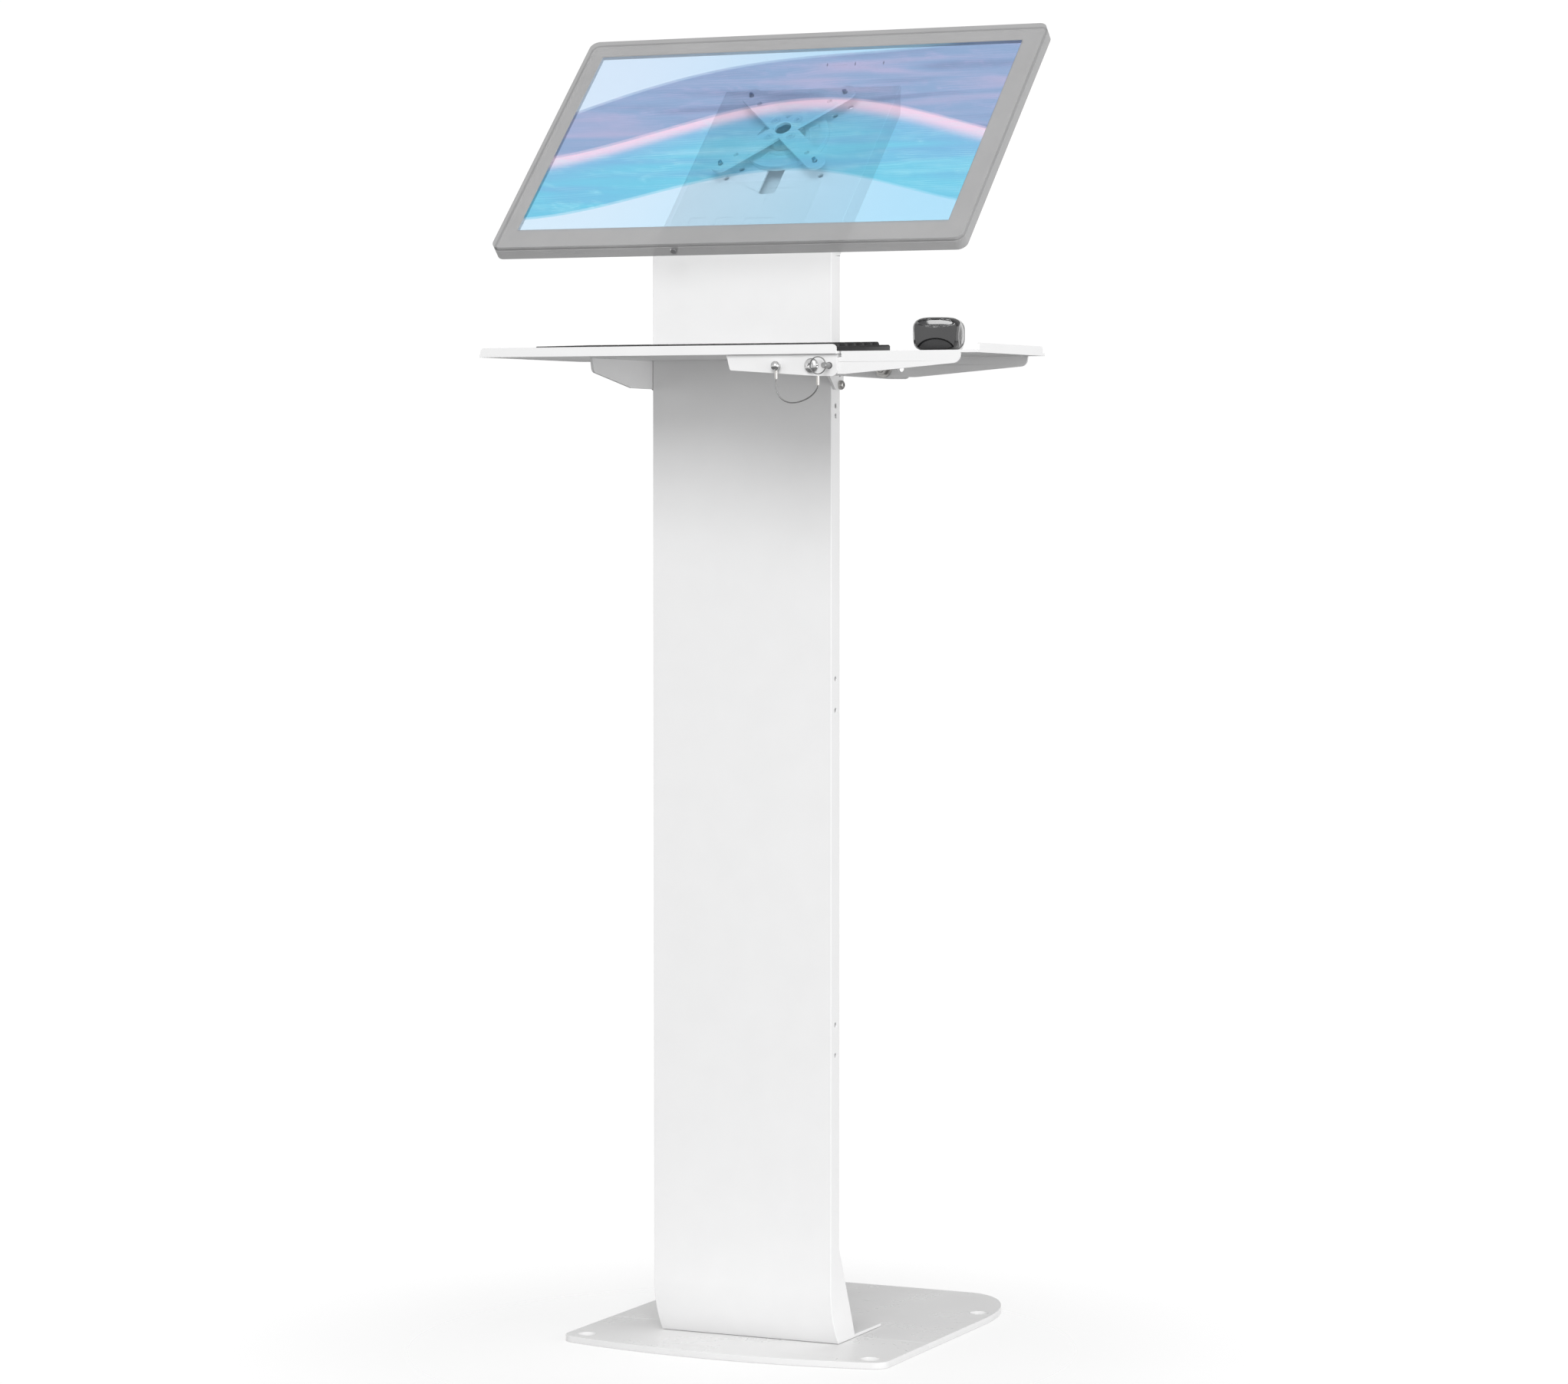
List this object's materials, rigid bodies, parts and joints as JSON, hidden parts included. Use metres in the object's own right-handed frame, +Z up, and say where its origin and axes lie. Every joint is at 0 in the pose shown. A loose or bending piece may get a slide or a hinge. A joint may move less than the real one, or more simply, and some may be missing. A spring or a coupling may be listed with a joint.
{
  "type": "touchscreen kiosk",
  "caption": "Free-standing kiosk: floor plate, bent sheet column, tilted swivelling touchscreen, keyboard tray with a folding side shelf, hand scanner.",
  "frame": {"origin": "on the floor, under the middle of the column's front face", "axes": "+X to the user's right, -Y towards the user, +Z up"},
  "size_m": [0.5623, 0.5227, 1.2703],
  "materials": {
    "white_powder_coat": "fine textured powder coat",
    "steel": "plain bright steel",
    "black_plastic": "black moulded plastic",
    "black_rubber": "moulded rubber",
    "grey_plastic": "satin grey plastic",
    "glass": "gloss",
    "circuit_board": "solder resist"
  },
  "bodies": {
    "stand": {"base_front_plate": "white_powder_coat", "base_rear_plate": "white_powder_coat", "column": "white_powder_coat", "rear_cover": "white_powder_coat", "head_cover": "white_powder_coat", "swivel_plate": "white_powder_coat", "tray_plate": "white_powder_coat", "hinge_frame": "white_powder_coat", "arm_left": "white_powder_coat", "arm_right": "white_powder_coat", "foot_bolt_1": "steel", "foot_bolt_2": "steel", "foot_bolt_3": "steel", "foot_bolt_4": "steel", "cross_bar_upper": "steel", "cross_bar_lower": "steel", "cover_screw_upper": "steel", "cover_screw_lower": "steel", "arm_bolt_right": "steel", "arm_bolt_left_lower": "steel", "arm_bolt_left_upper": "steel", "pivot_screw_front": "steel", "pivot_nut_front": "steel", "pivot_screw_rear": "steel", "pivot_washer_rear": "steel", "pivot_nut_rear": "steel", "lanyard_stud": "steel", "crimp_stud": "steel", "lanyard": "steel", "power_inlet": "black_rubber", "head_bushing": "black_rubber"},
    "display": {"swivel_hub": "steel", "swivel_retainer": "steel", "x_bracket": "white_powder_coat", "bracket_screw_1": "steel", "bracket_screw_2": "steel", "bracket_screw_3": "steel", "bracket_screw_4": "steel", "vesa_screw_1": "steel", "vesa_screw_2": "steel", "vesa_screw_3": "steel", "vesa_screw_4": "steel", "screen_bezel": "grey_plastic", "touch_glass": "glass", "lcd_panel": "black_plastic", "screen_back_shell": "grey_plastic", "main_board": "circuit_board"},
    "power_button": {"power_button": "black_plastic"},
    "shelf": {"wing_shelf": "white_powder_coat"},
    "lock_pin": {"lock_pin": "steel", "crimp_ring": "steel"},
    "pull_ring": {"lock_ring": "steel"},
    "keyboard": {"keyboard_case": "black_plastic"},
    "keys": {"key_block": "black_plastic"},
    "space_bar": {"space_bar": "black_plastic"},
    "scanner": {"scanner_body": "black_plastic", "scanner_window": "glass"},
    "trigger": {"scanner_trigger": "grey_plastic"}
  },
  "joints": [
    {"name": "display_swivel", "type": "hinge", "parent": "stand", "child": "display", "pos_m": [0, 0.0946, 1.1722], "axis": [0, -0.7034, 0.7108], "range_deg": [0, 90]},
    {"name": "power_press", "type": "slide", "parent": "display", "child": "power_button", "axis": [0, 0.7108, 0.7034], "range_m": [0, 0.0008], "stiffness_N_per_m": 400},
    {"name": "shelf_fold", "type": "hinge", "parent": "stand", "child": "shelf", "pos_m": [0.156, -0.098, 0.936], "axis": [0, 1, 0], "range_deg": [0, 88]},
    {"name": "pin_pull", "type": "slide", "parent": "stand", "child": "lock_pin", "axis": [0, -1, 0], "range_m": [0, 0.02]},
    {"name": "ring_swing", "type": "hinge", "parent": "lock_pin", "child": "pull_ring", "pos_m": [0.1733, -0.189, 0.936], "axis": [0, 0, 1], "range_deg": [0, 80]},
    {"name": "keyboard_lift", "type": "slide", "parent": "stand", "child": "keyboard", "axis": [0, 0, 1], "range_m": [0, 0.03]},
    {"name": "key_press", "type": "slide", "parent": "keyboard", "child": "keys", "axis": [0, 0, -1], "range_m": [0, 0.0012], "stiffness_N_per_m": 1500},
    {"name": "space_press", "type": "slide", "parent": "keyboard", "child": "space_bar", "axis": [0, 0, -1], "range_m": [0, 0.0012], "stiffness_N_per_m": 500},
    {"name": "scanner_lift", "type": "slide", "parent": "shelf", "child": "scanner", "axis": [0, 0, 1], "range_m": [0, 0.06]},
    {"name": "trigger_press", "type": "slide", "parent": "scanner", "child": "trigger", "axis": [0, 0, -1], "range_m": [0, 0.002], "stiffness_N_per_m": 300}
  ]
}
